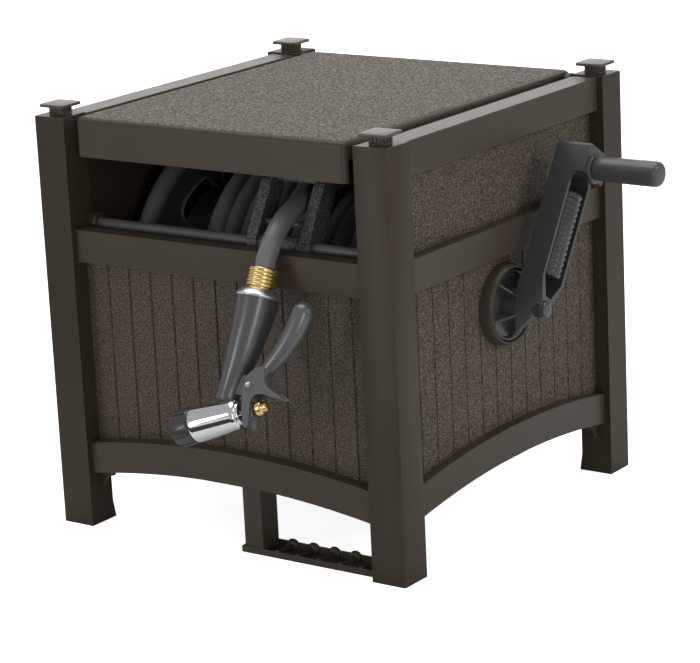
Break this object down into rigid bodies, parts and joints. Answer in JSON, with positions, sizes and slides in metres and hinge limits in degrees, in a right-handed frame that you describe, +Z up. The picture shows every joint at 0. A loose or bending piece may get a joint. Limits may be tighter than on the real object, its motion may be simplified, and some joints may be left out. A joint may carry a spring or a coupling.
{
  "type": "hose storage box",
  "caption": "Square resin hose storage box on four posts, with lift lid, side crank, hose reel, sliding hose guide, foot step and a hose ending in a trigger nozzle.",
  "frame": {"origin": "middle of the four posts' footprint, on the ground plane", "axes": "+X to the right along the front (the crank's side), +Y to the back, +Z up; the hose slot and the step face -Y"},
  "size_m": [0.6523, 0.6261, 0.5247],
  "materials": {
    "resin": "satin moulded resin, dark brown",
    "panel": "moulded resin, smooth rails and stippled beadboard fields",
    "stucco": "stippled resin, dark brown",
    "black_resin": "satin black moulded resin",
    "guide_grey": "textured charcoal resin",
    "hose": "smooth charcoal vinyl",
    "rubber_grip": "soft black rubber",
    "brass": "turned brass",
    "chrome": "polished chrome",
    "steel": "plain steel"
  },
  "bodies": {
    "box": {"front_left_post": "resin", "front_right_post": "resin", "rear_left_post": "resin", "rear_right_post": "resin", "post_caps": "resin", "front_panel": "panel", "rear_panel": "panel", "left_panel": "panel", "right_panel": "panel", "floor_tray": "resin", "foot_step": "resin", "guide_rod": "guide_grey", "rod_sockets": "resin", "crank_ring": "resin", "inlet_bush": "black_resin", "inlet_fitting": "black_resin", "hinge_brackets": "resin"},
    "lid": {"lid": "stucco", "hinge_pins": "steel"},
    "reel": {"left_flange": "black_resin", "right_flange": "black_resin", "reel_drum": "black_resin", "crank_shaft": "steel", "water_tube": "black_resin", "outlet_elbow": "black_resin", "inner_hose_fitting": "brass", "wound_hose": "hose", "crank_arm": "black_resin", "crank_pin": "black_resin", "grip_spindle": "steel"},
    "grip": {"crank_grip": "black_resin"},
    "guide": {"hose_guide": "guide_grey", "hose_strand": "hose", "hose_coupling": "brass", "nozzle_collar": "chrome", "nozzle_handle": "rubber_grip", "nozzle_barrel": "chrome", "trigger_pin": "steel"},
    "spray_ring": {"spray_ring": "black_resin"},
    "trigger": {"nozzle_trigger": "rubber_grip"},
    "valve": {"valve_stem": "steel", "flow_knob": "brass"}
  },
  "joints": [
    {"name": "lid_hinge", "type": "hinge", "parent": "box", "child": "lid", "pos_m": [0, 0.222, 0.5], "axis": [-1, 0, 0], "range_deg": [0, 100]},
    {"name": "reel_spin", "type": "hinge", "parent": "box", "child": "reel", "pos_m": [0, 0, 0.272], "axis": [1, 0, 0], "continuous": true, "deforming": ["hose_strand"]},
    {"name": "grip_spin", "type": "hinge", "parent": "reel", "child": "grip", "pos_m": [0.3113, 0.09776, 0.42254], "axis": [1, 0, 0], "continuous": true},
    {"name": "guide_slide", "type": "slide", "parent": "box", "child": "guide", "axis": [1, 0, 0], "range_m": [-0.222, 0.083]},
    {"name": "spray_twist", "type": "hinge", "parent": "guide", "child": "spray_ring", "pos_m": [0.03975, -0.34652, 0.19132], "axis": [-0.9415, -0.1425, -0.3055], "range_deg": [0, 270]},
    {"name": "trigger_pull", "type": "hinge", "parent": "guide", "child": "trigger", "pos_m": [0.1066, -0.3243, 0.23897], "axis": [0, -0.9063, 0.4226], "range_deg": [0, 11], "stiffness_Nm_per_rad": 1.5, "springref_deg": -20.05},
    {"name": "valve_slide", "type": "slide", "parent": "guide", "child": "valve", "axis": [0.9415, 0.1425, 0.3055], "range_m": [0, 0.006]}
  ],
  "couplings": [
    {"joint": "valve_slide", "follows": "trigger_pull", "m_per_rad": 0.03}
  ]
}
